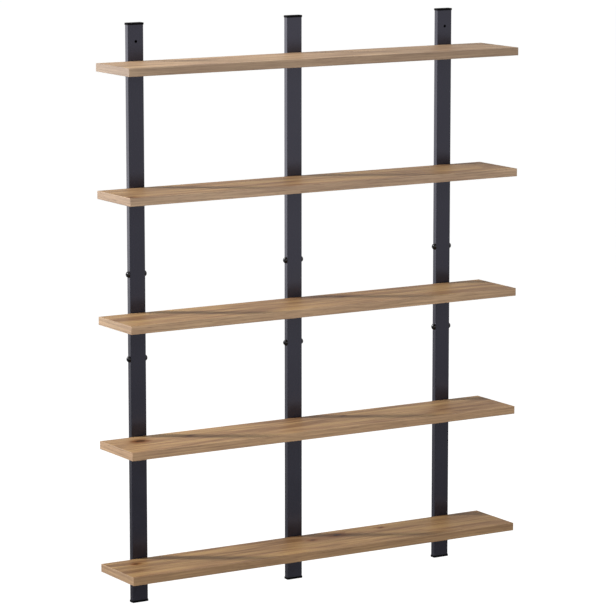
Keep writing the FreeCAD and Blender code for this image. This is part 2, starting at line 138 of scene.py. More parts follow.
# most values of a noise lie in this range
NOISE_LOW, NOISE_MIDDLE, NOISE_HIGH = 0.3, 0.5, 0.7
NOISE_RANGE = {"From Min": NOISE_LOW, "From Max": NOISE_HIGH}


def grain_place(tree, turned):
    """Places in mm, with X along the grain. End bands are cut from tape, whose grain runs along Y."""
    here = add(tree, "TexCoord").outputs["Object"]
    in_mm = add(tree, "VectorMath", {0: here, "Scale": 1 / MM}, operation="SCALE")
    turn = (0.0, 0.0, math.pi / 2 if turned else 0.0)
    return add(tree, "Mapping", {"Vector": in_mm, "Rotation": turn}, vector_type="POINT")


def grain(tree, place, cell, detail=3.0):
    """Soft spots drawn out along the grain. A cell is their length and the two ways across, in mm."""
    scaled = add(tree, "VectorMath", {0: place, 1: cell}, operation="DIVIDE")
    return add(tree, "TexNoise", {"Vector": scaled, "Scale": 1.0, "Detail": detail,
                                  "Roughness": GRAIN_BREAKUP})


low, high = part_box("board_1_core")
board_size = [round(side / MM, 1) for side in high - low]
print("the decor covers a core of", board_size, "mm")

# %% [markdown]
# ## Fibres that bend
# A trunk is never quite straight, so its fibres wander, and they part to pass a branch, which is what a knot
# is. The pattern could be bent with a distorted texture, but that bends only itself. Here the place is
# moved, by a slow noise and away from each knot, so that all that is drawn at that place bends alike.

# %% Fibres that wander and part at knots
WARP_SIZE = (340.0, 62.0, 62.0)
WARP_REACH = 16.0
# fibres part within so many radii of a knot, along and across the grain
PART_LENGTH, PART_WIDTH = 7.7, 3.2
PART_SHARE = 0.85
ANY_DEPTH = 1e6
print("fibres wander by up to", WARP_REACH / 2, "mm to each side")


def knot_distance(tree, offset, length, width):
    """Distance from a knot's heart, which is 1 at the given half length and half width, at any depth."""
    squeezed = add(tree, "VectorMath", {0: offset, 1: (length, width, ANY_DEPTH)}, operation="DIVIDE")
    return add(tree, "VectorMath", {0: squeezed}, operation="LENGTH")


def bent_fibres(tree, place, knots):
    """Where a place would lie if its fibre had grown straight."""
    warp = add(tree, "Math", {0: grain(tree, place, WARP_SIZE, 1.0), 1: NOISE_MIDDLE}, operation="SUBTRACT")
    bend = add(tree, "VectorMath", {0: (0.0, WARP_REACH, WARP_REACH), "Scale": warp}, operation="SCALE")
    fibre_place = add(tree, "VectorMath", {0: place, 1: bend}, operation="ADD")
    for knot, radius in knots:
        offset = add(tree, "VectorMath", {0: place, 1: knot}, operation="SUBTRACT")
        distance = knot_distance(tree, offset, PART_LENGTH * radius, PART_WIDTH * radius)
        near = add(tree, "MapRange", {0: distance, "To Min": PART_SHARE, "To Max": 0.0},
                   interpolation_type="SMOOTHSTEP")
        aside = add(tree, "VectorMath", {0: offset, 1: (0.0, 1.0, 0.0)}, operation="MULTIPLY")
        push = add(tree, "VectorMath", {0: aside, "Scale": near}, operation="SCALE")
        fibre_place = add(tree, "VectorMath", {0: fibre_place, 1: push}, operation="SUBTRACT")
    return fibre_place


# %% [markdown]
# ## Growth rings and pores
# Each spring an oak grows dark wood with wide pores, and by the summer's end it is dense and pale. Cut
# lengthwise, these rings give a plank its long flames. A wave texture would draw even bands. Here the distance
# from the tree's heart line is counted in ring widths, and what is left over after whole rings is the season.

# %% Rings round the heart line, with pores in the spring growth
RING_WIDTH = 6.5
# rings change far more slowly along the trunk than across it
ALONG_TRUNK = 0.035
SPRING_FADE = {"From Max": 0.75, "To Min": 1.0, "To Max": 0.0}
# A pore is 0.3 mm wide on real oak, which is a tenth of a pixel here, so it is drawn three times as wide.
PORE_SIZE = (26.0, 0.9, 0.9)
PORE_EDGE = {"From Min": 0.56, "From Max": 0.64}
SUMMER_PORES = 0.35
print("about", round(board_size[1] / RING_WIDTH), "growth rings fit across a board")


def spring_growth(tree, fibre_place, heart):
    """1 where a ring's spring growth starts, and 0 in its summer growth."""
    spread = add(tree, "VectorMath", {0: fibre_place, 1: heart}, operation="SUBTRACT")
    across = add(tree, "VectorMath", {0: spread, 1: (ALONG_TRUNK, 1.0, 1.0)}, operation="MULTIPLY")
    radius = add(tree, "VectorMath", {0: across}, operation="LENGTH")
    age = add(tree, "Math", {0: radius, 1: RING_WIDTH}, operation="DIVIDE")
    season = add(tree, "Math", {0: age}, operation="FRACT")
    return add(tree, "MapRange", {0: season, **SPRING_FADE}, interpolation_type="SMOOTHSTEP")


def open_pores(tree, fibre_place, spring):
    """1 in an open pore. Pores are deep in spring growth, and faint in summer growth."""
    pore = add(tree, "MapRange", {0: grain(tree, fibre_place, PORE_SIZE, 1.0), **PORE_EDGE})
    porous = add(tree, "Math", {0: spring, 1: SUMMER_PORES}, operation="MAXIMUM")
    return add(tree, "Math", {0: pore, 1: porous}, operation="MULTIPLY")


# %% [markdown]
# ## Colours of the print
# The print has pale, rosy and deep brown flames, and over them darker rings, fine streaks and brown pores.
# One ramp over one noise could mix these colours, but it would look like marble. Layers from broad to fine,
# each with the size that it has in wood, look like a plank both from afar and close by.

# %% Flames, rings, streaks and pores in colour
OAK_PALE = "#b9976c"
OAK_ROSY = "#a5835f"
OAK_DEEP = "#856447"
PORE_BROWN = "#6b4d34"
DRIFT_SIZE = (620.0, 110.0, 110.0)
FLAME_SIZE = (210.0, 21.0, 21.0)
FLAME_MIDDLE = 0.49
# how much of the darker colour a ring and a pore take
RING_MARK, PORE_MARK = 0.42, 0.6
# streaks and the slow drift make the wood this much darker and lighter
STREAK_MIDDLE, STREAK_SWING = 1.025, 0.365
DRIFT_DARK, DRIFT_LIGHT = 0.94, 1.08
print("flames of", FLAME_SIZE[0], "x", FLAME_SIZE[1], "mm, in tones that drift over", DRIFT_SIZE[0], "mm")


def oak_colour(tree, fibre_place, fibre, spring, pore, tone, calm, contrast):
    """The colour of clear wood, from broad to fine."""
    flame = grain(tree, fibre_place, FLAME_SIZE)
    drift = grain(tree, fibre_place, DRIFT_SIZE, 1.0)
    stops = [(FLAME_MIDDLE - calm, OAK_DEEP), (FLAME_MIDDLE, OAK_ROSY), (FLAME_MIDDLE + calm, OAK_PALE)]
    broad = add(tree, "ValToRGB", {"Fac": flame}, stops)
    ring_mark = add(tree, "Math", {0: spring, 1: RING_MARK * contrast}, operation="MULTIPLY")
    ringed = add(tree, "Mix", {0: ring_mark, 1: broad, 2: linear(OAK_DEEP)}, data_type="RGBA")
    swing = STREAK_SWING * contrast
    streak = add(tree, "MapRange", {0: fibre, **NOISE_RANGE, "To Min": STREAK_MIDDLE - swing,
                                    "To Max": STREAK_MIDDLE + swing})
    slow = add(tree, "MapRange", {0: drift, **NOISE_RANGE, "To Min": DRIFT_DARK * tone,
                                  "To Max": DRIFT_LIGHT * tone})
    shade = add(tree, "Math", {0: streak, 1: slow}, operation="MULTIPLY")
    streaked = add(tree, "VectorMath", {0: ringed, "Scale": shade}, operation="SCALE")
    pore_mark = add(tree, "Math", {0: pore, 1: PORE_MARK}, operation="MULTIPLY")
    return add(tree, "Mix", {0: pore_mark, 1: streaked, 2: linear(PORE_BROWN)}, data_type="RGBA")


# %% [markdown]
# ## Knots
# A knot is a branch cut across: nearly black inside, with a brown rim, and a stain that runs out along the
# grain. A painted mask for each would do. An oval distance from the knot's heart does the same with three
# numbers a knot, and a noise makes its edge ragged, so that no two are alike.

# %% Knots with their stains
KNOT_HEART = "#26160c"
KNOT_RIM = "#6a4226"
RAGGED_SIZE = (14.0, 6.0, 6.0)
# sizes in knot radii, and how far the ragged noise moves each edge
STAIN_LENGTH, STAIN_WIDTH, STAIN_RAGGED = 6.5, 1.9, 0.9
KNOT_LENGTH, KNOT_WIDTH, KNOT_RAGGED = 1.7, 1.0, 0.8
STAIN_FADE = {"From Min": 0.4, "From Max": 1.5, "To Min": 0.62, "To Max": 0.0}
STAIN_STREAKS = {"From Min": 0.35, "From Max": 0.65, "To Min": 1.25, "To Max": 0.35}
KNOT_STOPS = [(0.75, KNOT_HEART), (0.98, KNOT_RIM)]
KNOT_FADE = {"From Min": 0.95, "From Max": 1.9, "To Min": 1.0, "To Max": 0.0}
print("a knot of 10 mm radius stains", 20 * STAIN_LENGTH, "mm of the grain")


def knotted(tree, colour, place, fibre_place, fibre, knot, radius):
    """A colour with one knot on it."""
    ragged = grain(tree, place, RAGGED_SIZE)
    along = add(tree, "VectorMath", {0: fibre_place, 1: knot}, operation="SUBTRACT")
    distance = knot_distance(tree, along, STAIN_LENGTH * radius, STAIN_WIDTH * radius)
    far = add(tree, "Math", {0: ragged, 1: STAIN_RAGGED, 2: distance}, operation="MULTIPLY_ADD")
    stain = add(tree, "MapRange", {0: far, **STAIN_FADE}, interpolation_type="SMOOTHSTEP")
    run = add(tree, "MapRange", {0: fibre, **STAIN_STREAKS})
    streaky = add(tree, "Math", {0: stain, 1: run}, operation="MULTIPLY", use_clamp=True)
    stained = add(tree, "Mix", {0: streaky, 1: colour, 2: linear(KNOT_RIM)}, data_type="RGBA")

    offset = add(tree, "VectorMath", {0: place, 1: knot}, operation="SUBTRACT")
    distance = knot_distance(tree, offset, KNOT_LENGTH * radius, KNOT_WIDTH * radius)
    edge = add(tree, "Math", {0: ragged, 1: KNOT_RAGGED, 2: distance}, operation="MULTIPLY_ADD")
    wood = add(tree, "ValToRGB", {"Fac": edge}, KNOT_STOPS)
    inside = add(tree, "MapRange", {0: edge, **KNOT_FADE}, interpolation_type="SMOOTHSTEP")
    return add(tree, "Mix", {0: inside, 1: stained, 2: wood}, data_type="RGBA")


# %% [markdown]
# ## The finished decor
# Now the layers meet in one material. Melamine is a hard resin, so it is a dielectric with the IOR of most
# plastics, and its plate leaves it matt. Pale fibres are a little glossier than dark ones, and pores are
# pressed in by a few hundredths of a millimetre, which a bump can show without more geometry.

# %% Oak decor as one material, for boards and edge tape
PLASTIC_IOR = 1.5
FIBRE_SIZE = (150.0, 2.6, 2.6)
FIBRE_DETAIL = 6.0
PORE_DEPTH = 0.04 * MM
PORE_STRENGTH = 0.6
print("pores are", PORE_DEPTH / MM, "mm deep, and fibres", FIBRE_SIZE[1], "mm wide")


def oak_decor(name, tone, warmth, heart, calm, contrast, rough, gloss, knots=(), turned=False):
    """Printed oak. Heart is a point on the tree's heart line and knots are (place, radius), all in mm.

    A tone above 1 is paler, and a warmth under 1 is greyer. The larger calm is, the closer are the tones of
    the flames, and contrast is the strength of rings and streaks. Rough is for pale fibres, then dark ones.
    """
    material, tree = new_material(name)
    place = grain_place(tree, turned)
    fibre_place = bent_fibres(tree, place, knots)
    fibre = grain(tree, fibre_place, FIBRE_SIZE, FIBRE_DETAIL)
    spring = spring_growth(tree, fibre_place, heart)
    pore = open_pores(tree, fibre_place, spring)
    colour = oak_colour(tree, fibre_place, fibre, spring, pore, tone, calm, contrast)
    for knot, radius in knots:
        colour = knotted(tree, colour, place, fibre_place, fibre, knot, radius)
    colour = add(tree, "HueSaturation", {"Saturation": warmth, "Color": colour})
    bump = add(tree, "Bump", {"Height": pore, "Strength": PORE_STRENGTH, "Distance": PORE_DEPTH}, invert=True)
    dull = add(tree, "MapRange", {0: fibre, **NOISE_RANGE, "To Min": rough[1], "To Max": rough[0]})
    shader = add(tree, "BsdfPrincipled", {"Base Color": colour, "Roughness": dull, "IOR": PLASTIC_IOR,
                                          "Specular IOR Level": gloss, "Normal": bump})
    add(tree, "OutputMaterial", {"Surface": shader})
    return material


# %% [markdown]
# ## Five boards from one print
# Boards are cut from different lengths of the printed paper, so each has its own knots and, at random, its own
# tone. Their tones and warmths also hold painted light: painted shade darkens the lowest board, and a painted
# sheen makes the top board greyer. One material for all would show the same flames five times, one above the
# other. The heart line moves along from board to board instead, as if the five had been sawn from one tree.

# %% Put the decor on the five boards
BOARDS = range(1, 6)
# knots of each board: mm from its middle, mm from its front edge, radius in mm
KNOTS = {1: [], 2: [(-486, 18, 7)], 3: [(95, 100, 5)], 4: [(-425, 103, 14), (-305, 95, 6), (101, 108, 5)],
         5: [(87, 110, 13), (13, 96, 8), (210, 118, 6), (-435, 108, 7)]}
# tones and warmths are partly the print's own and partly painted light: painted shade on board 5, painted
# sheen greying board 1
TONES_AND_SHADE = {1: 0.9, 2: 0.84, 3: 0.87, 4: 0.83, 5: 0.68}
WARMTHS_AND_SHEEN = {1: 0.87, 2: 1.01, 3: 1.02, 4: 1.02, 5: 1.06}
CALMS = {1: 0.2, 2: 0.135, 3: 0.135, 4: 0.13, 5: 0.125}
# the heart line: where it starts along the boards, its steps along and aside, and its depth under a board
HEART_START, HEART_STEP, HEART_ASIDE, HEART_DEPTH = -380.0, 190.0, 24.0, 30.0
BOARD_FINISH = {"contrast": 1.0, "rough": (0.53, 0.59), "gloss": 0.12}

for number in BOARDS:
    low, high = [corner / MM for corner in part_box(f"board_{number}_core")]
    heart = (HEART_START + HEART_STEP * number, low.y + HEART_ASIDE * number, low.z - HEART_DEPTH)
    decor = oak_decor(f"melamine_oak_decor_{number}", TONES_AND_SHADE[number], WARMTHS_AND_SHEEN[number], heart, CALMS[number],
                      knots=[((x, low.y + y, high.z), radius) for x, y, radius in KNOTS[number]],
                      **BOARD_FINISH)
    paint(decor, f"board_{number}_core")

# %% [markdown]
# ## Edge tape
# The four narrow sides of a board are covered with 1 mm ABS tape, printed to match and glued on by machine.
# It is the same oak, but extruded plastic is glossier than pressed melamine, so seen square on it looks
# greyer. Each tape's tone and warmth also hold painted light: painted shade darkens the fronts of the top and
# bottom boards, and a painted sheen makes the upper tapes greyer. Its grain always runs along the tape: along
# the board in front, and across it at the ends. The heart line is far below, because rings on a narrow strip
# look like straight lines.

# %% Printed ABS tape on all edges
# these tones and warmths are partly the tape's own and partly painted light: painted shade on the fronts of
# boards 1 and 5, and painted sheen greying the upper tapes
FRONT_TONES_AND_SHADE = {1: 0.75, 2: 0.93, 3: 0.99, 4: 0.98, 5: 0.76}
FRONT_WARMTHS_AND_SHEEN = {1: 0.8, 2: 0.81, 3: 0.88, 4: 0.93, 5: 1.0}
FRONT_HEART = (0.0, -60.0, -1700.0)
END_TONES_AND_SHADE = {1: 0.77, 2: 0.905, 3: 0.97, 4: 1.14, 5: 0.88}
END_WARMTHS_AND_SHEEN = {1: 0.74, 2: 0.83, 3: 0.87, 4: 0.91, 5: 0.94}
END_HEART = (0.0, 300.0, -1700.0)
TAPE_FINISH = {"calm": 0.45, "contrast": 0.68, "rough": (0.4, 0.48), "gloss": 0.5}

for number in BOARDS:
    long_tape = oak_decor(f"printed_abs_tape_{number}", FRONT_TONES_AND_SHADE[number], FRONT_WARMTHS_AND_SHEEN[number],
                          FRONT_HEART, **TAPE_FINISH)
    paint(long_tape, *[f"board_{number}_{side}_band" for side in ("front", "back")])
    end_tape = oak_decor(f"printed_abs_end_tape_{number}", END_TONES_AND_SHADE[number], END_WARMTHS_AND_SHEEN[number],
                         END_HEART, turned=True, **TAPE_FINISH)
    paint(end_tape, *[f"board_{number}_{side}_band" for side in ("left", "right")])

# %% [markdown]
# ## Powder coat on the uprights and brackets
# The tubes and brackets are steel with an anthracite powder coat: plastic dust, baked until it flows. It
# dries satin, with a fine orange peel that breaks up every highlight. Paint is a dielectric, so metallic
# stays at 0. One even gloss would do from afar. Here a fine noise drives the bump and a wider one the gloss,
# as on a baked coat, so that it holds close by too.

# %% Powder-coated steel
UPRIGHTS = ("left", "middle", "right")
COAT_ANTHRACITE = "#15151c"
COAT_DULL = "#191921"
COAT_SHEEN = "#e9e7ff"
# the middle upright is given more gloss than the other two, a painted sheen that makes it look lighter
COAT_GLOSS_AND_SHEEN = {"left": 0.6, "middle": 0.74, "right": 0.6}
COAT_ROUGH = {"To Min": 0.22, "To Max": 0.26}
COAT_CLOUD_SIZE = 45.0
PEEL_SIZE = 1.6
PEEL_DEPTH = 0.02 * MM
PEEL_STRENGTH = 0.05


def powder_coat(name, gloss):
    """Satin anthracite with a bluish sheen, orange peel and slow clouds of tone and gloss."""
    material, tree = new_material(name)
    here = add(tree, "TexCoord").outputs["Object"]
    peel = add(tree, "TexNoise", {"Vector": here, "Scale": 1 / (PEEL_SIZE * MM), "Detail": 2.0})
    cloud = add(tree, "TexNoise", {"Vector": here, "Scale": 1 / (COAT_CLOUD_SIZE * MM), "Detail": 3.0})
    colour = add(tree, "ValToRGB", {"Fac": cloud}, [(NOISE_LOW, COAT_ANTHRACITE), (NOISE_HIGH, COAT_DULL)])
    rough = add(tree, "MapRange", {0: cloud, **NOISE_RANGE, **COAT_ROUGH})
    bump = add(tree, "Bump", {"Height": peel, "Strength": PEEL_STRENGTH, "Distance": PEEL_DEPTH})
    shader = add(tree, "BsdfPrincipled", {"Base Color": colour, "Roughness": rough, "IOR": PLASTIC_IOR,
                                          "Specular IOR Level": gloss, "Specular Tint": linear(COAT_SHEEN),
                                          "Normal": bump})
    add(tree, "OutputMaterial", {"Surface": shader})
    return material


coats = {u: powder_coat(f"powder_coated_steel_{u}", COAT_GLOSS_AND_SHEEN[u]) for u in UPRIGHTS}
for upright, coat in coats.items():
    paint(coat, f"{upright}_upper_tube", f"{upright}_lower_tube", *[f"bracket_{n}_{upright}" for n in BOARDS])

# %% [markdown]
# ## Moulded plastic end caps
# The caps are polyethylene, injection moulded in black with a spark-eroded texture that makes them much
# duller than the coated tubes. Real geometry for that texture would be heavy and hardly seen, so fine cells
# in the bump stand for it.

# %% Moulded black polyethylene
CAP_BLACK = "#050506"
CAP_GREY = "#0a0a0b"
CAP_STOPS = [(0.35, CAP_BLACK), (0.7, CAP_GREY)]
CAP_ROUGH = 0.72
CAP_GLOSS = 0.08
CAP_CLOUD_SIZE = 12.0
# Real spark marks are about 0.2 mm, too fine to show, so they are drawn three times as large.
SPARK_SIZE = 0.7
SPARK_DEPTH = 0.05 * MM
SPARK_STRENGTH = 0.3


def moulded_plastic(name):
    """Dull black plastic with the fine cells of a spark-eroded mould."""
    material, tree = new_material(name)
    here = add(tree, "TexCoord").outputs["Object"]
    spark = add(tree, "TexVoronoi", {"Vector": here, "Scale": 1 / (SPARK_SIZE * MM)})
    cloud = add(tree, "TexNoise", {"Vector": here, "Scale": 1 / (CAP_CLOUD_SIZE * MM), "Detail": 3.0})
    colour = add(tree, "ValToRGB", {"Fac": cloud}, CAP_STOPS)
    bump = add(tree, "Bump", {"Height": spark, "Strength": SPARK_STRENGTH, "Distance": SPARK_DEPTH})
    shader = add(tree, "BsdfPrincipled", {"Base Color": colour, "Roughness": CAP_ROUGH, "IOR": PLASTIC_IOR,
                                          "Specular IOR Level": CAP_GLOSS, "Normal": bump})
    add(tree, "OutputMaterial", {"Surface": shader})
    return material


cap_plastic = moulded_plastic("moulded_polyethylene")
paint(cap_plastic, *[f"{upright}_{end}_cap" for upright in UPRIGHTS for end in ("top", "bottom")])

# %% [markdown]
# ## Zinc plating
# All screws are steel with a black zinc plating, which is metal but very dark, under a clear seal that gives
# it crisp highlights. The sleeves inside the uprights are bright zinc, whose crystals catch the light in
# patches. One plain grey would look like chrome, so both are made of cells that stand for crystals, each with
# its own grey and polish.

# %% Black zinc and bright zinc
BLACK_ZINC = "#0d0d0f"
BLACK_ZINC_WORN = "#1b1b1e"
BRIGHT_ZINC = "#b4b7ba"
BRIGHT_ZINC_DARK = "#9a9da1"
SEAL_ROUGH = 0.12
# Crystals in mm. Black zinc has much finer ones, which are drawn large enough to show on a head of 15 mm.
BLACK_CRYSTAL, BRIGHT_CRYSTAL = 0.8, 2.5


def plated_steel(name, dark, bright, crystal, rough, seal):
    """Plating with crystals of a size in mm, roughness from low to high, under a clear seal from 0 to 1."""
    material, tree = new_material(name)
    here = add(tree, "TexCoord").outputs["Object"]
    crystals = add(tree, "TexVoronoi", {"Vector": here, "Scale": 1 / (crystal * MM)})
    grey = add(tree, "SeparateColor", {0: crystals.outputs["Color"]})
    colour = add(tree, "ValToRGB", {"Fac": grey}, [(0.0, dark), (1.0, bright)])
    polish = add(tree, "MapRange", {0: grey, "To Min": rough[0], "To Max": rough[1]})
    shader = add(tree, "BsdfPrincipled", {"Base Color": colour, "Metallic": 1.0, "Roughness": polish,
                                          "Coat Weight": seal, "Coat Roughness": SEAL_ROUGH})
    add(tree, "OutputMaterial", {"Surface": shader})
    return material


black_zinc = plated_steel("black_zinc_steel", BLACK_ZINC, BLACK_ZINC_WORN, BLACK_CRYSTAL,
                          rough=(0.3, 0.42), seal=0.8)
bright_zinc = plated_steel("bright_zinc_steel", BRIGHT_ZINC_DARK, BRIGHT_ZINC, BRIGHT_CRYSTAL,
                           rough=(0.28, 0.4), seal=0.0)
paint(bright_zinc, *[f"{upright}_joint_sleeve" for upright in UPRIGHTS])

# %% [markdown]
# ## Pieces from rows of points
# What the CAD model leaves out, screws in detail and weld beads, is long and changes along its length.
# Booleans and modifiers could shape it, but both leave messy meshes. Here each piece is a stack of rows with
# the same count of points. Faces between the rows and a lid at each end give a closed mesh.

# %% Close rows of points into a piece
def skin(bm, rows):
    """Closed faces over rows of points, with a lid on the first and the last row."""
    count = len(rows[0])
    for first, second in zip(rows, rows[1:]):
        for k in range(count):
            after = (k + 1) % count
            bm.faces.new((first[k], first[after], second[after], second[k]))
    bm.faces.new(rows[0][::-1])
    bm.faces.new(rows[-1])


def make_piece(name, bm, crease, material):
    """A piece of the shelf from a bmesh, smooth but for edges that bend by more than crease degrees."""
    mesh = bpy.data.meshes.new(name)
    bm.to_mesh(mesh)
    bm.free()
    mesh.shade_smooth()
    mesh.set_sharp_from_angle(angle=math.radians(crease))
    mesh.materials.append(material)
    piece = bpy.data.objects.new(name, mesh)
    bpy.context.scene.collection.objects.link(piece)
    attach(piece, "root")
    print(name, "with", len(mesh.polygons), "faces")
    return piece


# %% [markdown]
# ## Screws with sockets and threads
# In the CAD model a screw is a plain turned shape. A real one has a socket for its driver and a rolled
# thread. A Screw modifier could wind the thread, but it doesn't join the shank. So a screw is a stack of
# rings, from the bottom of the socket, over the head and down the thread to the point, with their points at
# the same angles. The socket is a ring in the shape of its outline, and a thread is rings whose radius rises
# and falls once in a turn, a little later on each ring.

# %% A head, from the floor of its socket to its seat
DOME_STEPS = 8
SOCKET_CHAMFER, SOCKET_FLARE = 0.25, 1.1
RIM_CHAMFER = 0.15
print("a dome has", DOME_STEPS + 1, "rings")


def screw_head(angles, outline, depth, floor, wide, tall, rim, flat):
    """Rings of (height, radius at each angle) in mm, from the socket's floor over the dome to the seat at 0.

    Outline gives the socket's radius at an angle, and floor is the size of its floor as a share of that. The
    head is wide and tall, with a straight rim below the dome and a flat above it.
    """
    mouth = [outline(angle) for angle in angles]
    rings = [(depth - tall, [floor * r for r in mouth]), (SOCKET_CHAMFER - tall, mouth),
             (-tall, [SOCKET_FLARE * r for r in mouth])]
    # the dome is an arc whose centre lies on the screw's axis
    centre = ((wide / 2) ** 2 - (flat / 2) ** 2 + rim ** 2 - tall ** 2) / (2 * (rim - tall))
    reach = math.hypot(flat / 2, tall - centre)
    for k in range(DOME_STEPS + 1):
        height = tall + (rim - tall) * k / DOME_STEPS
        rings.append((-height, [math.sqrt(reach ** 2 - (height - centre) ** 2)] * len(angles)))
    edge = [wide / 2] * len(angles)
    return rings + [(-RIM_CHAMFER, edge), (0.0, [r - RIM_CHAMFER for r in edge])]


# %% A shank with its thread
RINGS_PER_TURN = 6
# no radius is smaller than this share of the tip's diameter
THINNEST = 1 / 3
print("a thread has", RINGS_PER_TURN, "rings a turn")


def screw_shank(angles, thick, length, taper, tip, start, pitch, deep, flank):
    """Rings from the seat at 0 to the point, which tapers to the tip's diameter.

    The thread begins at start. Deep is the depth of its groove, and flank is how much of the pitch a flank
    takes up.
    """
    plain = [thick / 2] * len(angles)
    rings = [(0.0, plain), (start, plain)]
    count = math.ceil((length - start) / pitch * RINGS_PER_TURN)
    for k in range(1, count + 1):
        height = start + (length - start) * k / count
        run_in = min(1.0, (height - start) / pitch)
        narrow = max(0.0, height - length + taper) / taper if taper else 0.0
        full = (thick - narrow * (thick - tip)) / 2
        ring = []
        for angle in angles:
            place = (height / pitch - angle / math.tau) % 1.0
            root = min(1.0, abs(place - 0.5) / flank)
            ring.append(max(full - run_in * deep * root, tip * THINNEST))
        rings.append((height, ring))
    return rings


# %% The same screw at many places
SCREW_CREASE = 32


def screw_piece(name, angles, rings, places):
    """One mesh with the same screw at each (seat, direction) in places."""
    bm = bmesh.new()
    for seat, direction in places:
        turn = Vector(direction).to_track_quat("Z", "Y")
        rows = []
        for height, radii in rings:
            row = [(r * math.cos(a), r * math.sin(a), height) for a, r in zip(angles, radii)]
            rows.append([bm.verts.new(Vector(seat) + turn @ (Vector(point) * MM)) for point in row])
        skin(bm, rows)
    print(name, "has", len(places), "screws of", len(rings), "rings")
    return make_piece(name, bm, SCREW_CREASE, black_zinc)


# %% [markdown]
# ## Domed screws at the splice
# Two pairs of domed machine screws clamp each upright to the sleeve inside it. They are the only screws that
# the front shows. A hexagon socket suits their head, and six corners fall on every sixth of 36 points, so the
# socket needs no extra ones.

# %% Domed screws in the sides of the uprights
HEX_POINTS = 36
HEX_ANGLES = [math.radians(360 / HEX_POINTS * k) for k in range(HEX_POINTS)]
HEX_WIDTH = 4.0
# from the joint of an upright's two tubes
JOINT_SCREW_OFFSET = 94.0


def hexagon(angle):
    """Radius of a hexagon at an angle."""
    return HEX_WIDTH / 2 / math.cos(angle % (math.pi / 3) - math.pi / 6)


joint_rings = screw_head(HEX_ANGLES, hexagon, depth=2.6, floor=0.97, wide=14.6, tall=5.8, rim=1.2, flat=6.0)
joint_rings += screw_shank(HEX_ANGLES, thick=6.0, length=12.0, taper=0.0, tip=5.0, start=0.4, pitch=1.0,
                           deep=0.55, flank=0.5)
joint_places = []
for upright in UPRIGHTS:
    for half, sign in (("upper", 1), ("lower", -1)):
        low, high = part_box(f"{upright}_{half}_tube")
        joint = low.z if half == "upper" else high.z
        height = joint + sign * JOINT_SCREW_OFFSET * MM
        depth = (low.y + high.y) / 2
        joint_places += [((low.x, depth, height), (1, 0, 0)), ((high.x, depth, height), (-1, 0, 0))]
domed = screw_piece("domed_joint_screws", HEX_ANGLES, joint_rings, joint_places)
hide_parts("joint_screws")

# %% [markdown]
# ## Wood screws under the boards
# Two pan-head wood screws go up through each bracket into the board. They have a coarse, thin thread, a point,
# and a cross recess. A cross has twelve corners at uneven angles, so the angles are listed for one quarter,
# with a point at each corner and a few more to keep the head round, and then repeated.

# %% Pan-head screws under the brackets
SLOT_REACH, SLOT_HALF = 2.0, 0.45
# from a bracket's front end
BRACKET_SCREW_INSETS = (15.0, 75.0)
corner = math.degrees(math.atan(SLOT_HALF / SLOT_REACH))
quarter = [0.0, corner, 24.0, 34.0, 45.0, 56.0, 66.0, 90.0 - corner]
CROSS_ANGLES = [math.radians(90 * turn + angle) for turn in range(4) for angle in quarter]


def cross(angle):
    """Radius of a cross of two slots at an angle."""
    across, along = sorted((abs(math.cos(angle)), abs(math.sin(angle))))
    return min(SLOT_REACH / along, SLOT_HALF / across if across > 1e-6 else math.inf)


wood_rings = screw_head(CROSS_ANGLES, cross, depth=1.5, floor=0.5, wide=8.0, tall=2.4, rim=1.2, flat=4.5)
wood_rings += screw_shank(CROSS_ANGLES, thick=4.0, length=15.0, taper=3.0, tip=1.0, start=2.4, pitch=1.8,
                          deep=0.6, flank=0.24)
wood_places = []
for number in BOARDS:
    for upright in UPRIGHTS:
        low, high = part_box(f"bracket_{number}_{upright}")
        middle = (low.x + high.x) / 2
        wood_places += [((middle, low.y + inset * MM, low.z), (0, 0, 1)) for inset in BRACKET_SCREW_INSETS]
pan = screw_piece("pan_head_wood_screws", CROSS_ANGLES, wood_rings, wood_places)
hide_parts("bracket_screws")

# %% [markdown]
# ## Weld beads under the brackets
# Each bracket is welded to its tube before both are coated. The bead lies in the groove between the tube's
# face and the bend of the bracket, and shows the ripples of the welder's pool. A displaced tube would do,
# but a bead swept as cross sections stays a closed, light mesh, and its ends can fade out as real ones do.

# %% Rippled beads in the grooves
BEAD_LENGTH = 26.0
BEAD_LEG = 3.6
END_LEG = 0.5
# the larger this is, the shorter are the ends that fade out
END_FADE = 6
RIPPLE_PITCH = 1.7
RIPPLE_DEPTH = 0.22
# the bead's face stands out by a share of its leg, in y and z alike
BULGE = 0.154
# how far the bead bites into the steel, and how far its root goes up the groove
BITE, ROOT = 0.3, 1.4
BEAD_STEPS = 78
ARC_STEPS = 8
BEAD_CREASE = 50


def bead_section(along):
    """Points (y, z) round the bead in mm, where along goes from -1 at one end to 1 at the other."""
    fade = math.sqrt(1 - abs(along) ** END_FADE)
    ripple = RIPPLE_DEPTH * abs(math.sin(math.pi * BEAD_LENGTH / 2 * along / RIPPLE_PITCH))
    leg = max(END_LEG, (BEAD_LEG - ripple) * fade)
    section = [(BITE, ROOT)]
    for step in range(ARC_STEPS + 1):
        share = step / ARC_STEPS
        bulge = BULGE * leg * math.sin(math.pi * share)
        section.append((BITE - (leg + BITE) * share - bulge, BITE * share - leg * (1 - share) - bulge))
    return section


bm = bmesh.new()
for number in BOARDS:
    for upright in UPRIGHTS:
        low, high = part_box(f"bracket_{number}_{upright}")
        groove = Vector(((low.x + high.x) / 2, high.y, low.z))
        rows = []
        for k in range(BEAD_STEPS + 1):
            along = k / BEAD_STEPS * 2 - 1
            x = along * BEAD_LENGTH / 2
            rows.append([bm.verts.new(groove + Vector((x, y, z)) * MM) for y, z in bead_section(along)])
        skin(bm, rows)
bmesh.ops.recalc_face_normals(bm, faces=bm.faces)
beads = make_piece("weld_beads", bm, BEAD_CREASE, coats["left"])

